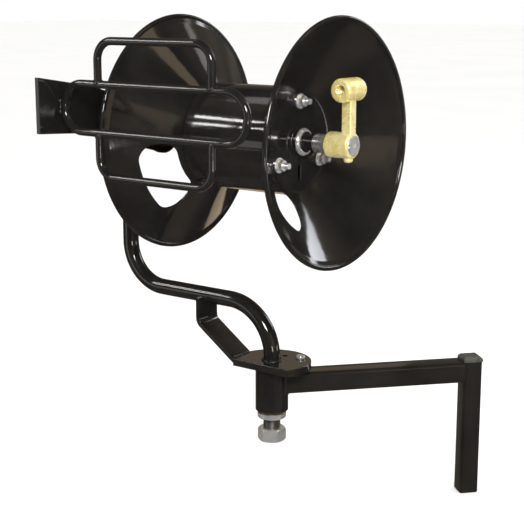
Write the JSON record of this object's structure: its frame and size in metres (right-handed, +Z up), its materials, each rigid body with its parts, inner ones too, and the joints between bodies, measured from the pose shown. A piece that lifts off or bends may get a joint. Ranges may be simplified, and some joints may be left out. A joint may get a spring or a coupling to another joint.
{
  "type": "hose reel",
  "caption": "Drum hose reel with dished flanges and a wire hose guide, carried from one side by a bent bar that swings on a square post bracket.",
  "frame": {"origin": "middle of the post's lower end", "axes": "+Z up along the post, +X along the reel's axle from the arm side to the water inlet, +Y to the back, away from the hose guide"},
  "size_m": [0.6365, 0.5923, 0.8512],
  "materials": {
    "black_powder_coat": "gloss black powder coat",
    "black_plastic": "moulded, slightly glossy",
    "bronze": "sintered bronze, oiled",
    "zinc_plate": "bright zinc plate",
    "steel": "machined steel",
    "brass": "cast and turned brass",
    "rubber": "nitrile rubber"
  },
  "bodies": {
    "bracket": {"post": "black_powder_coat", "post_cap": "black_plastic", "bracket_tube": "black_powder_coat", "lock_boss": "black_powder_coat", "pivot_barrel": "black_powder_coat", "upper_pivot_bush": "bronze", "lower_pivot_bush": "bronze"},
    "arm": {"swing_arm": "black_powder_coat", "index_plate": "black_powder_coat", "arm_strap": "black_powder_coat", "pivot_collar": "zinc_plate", "pivot_lock_nut": "zinc_plate", "bearing_housing": "black_powder_coat", "inner_axle_bush": "bronze", "outer_axle_bush": "bronze", "guide_plate": "black_powder_coat", "guide_loop": "black_powder_coat", "guide_top_bow": "black_powder_coat", "guide_bottom_bow": "black_powder_coat"},
    "lock_pin": {"lock_pin": "zinc_plate"},
    "drum": {"left_flange": "black_powder_coat", "right_flange": "black_powder_coat", "drum_shell": "black_powder_coat", "tie_rods": "zinc_plate", "tie_washers": "zinc_plate", "tie_nuts": "zinc_plate", "spindle": "steel", "spindle_washer": "zinc_plate", "spindle_nut": "zinc_plate", "flange_bolts": "zinc_plate", "flange_nuts": "zinc_plate", "hub_boss": "black_powder_coat", "supply_pipe": "black_powder_coat", "outlet_elbow": "steel", "outlet_pipe": "steel", "outlet_socket": "steel", "swivel_stem": "steel", "swivel_seals": "rubber", "retaining_ring": "zinc_plate"},
    "swivel": {"swivel_body": "brass", "swivel_end_plug": "zinc_plate", "swivel_drain_plug": "brass"}
  },
  "joints": [
    {"name": "arm_swing", "type": "hinge", "parent": "bracket", "child": "arm", "pos_m": [-0.23939, -0.27154, 0.216], "axis": [0, 0, 1], "continuous": true},
    {"name": "lock_pin_drop", "type": "slide", "parent": "arm", "child": "lock_pin", "axis": [0, 0, 1], "range_m": [-0.006, 0]},
    {"name": "drum_spin", "type": "hinge", "parent": "arm", "child": "drum", "pos_m": [-0.27239, -0.27154, 0.648], "axis": [1, 0, 0], "continuous": true},
    {"name": "swivel_spin", "type": "hinge", "parent": "drum", "child": "swivel", "pos_m": [-0.08859, -0.27154, 0.648], "axis": [1, 0, 0], "continuous": true}
  ]
}
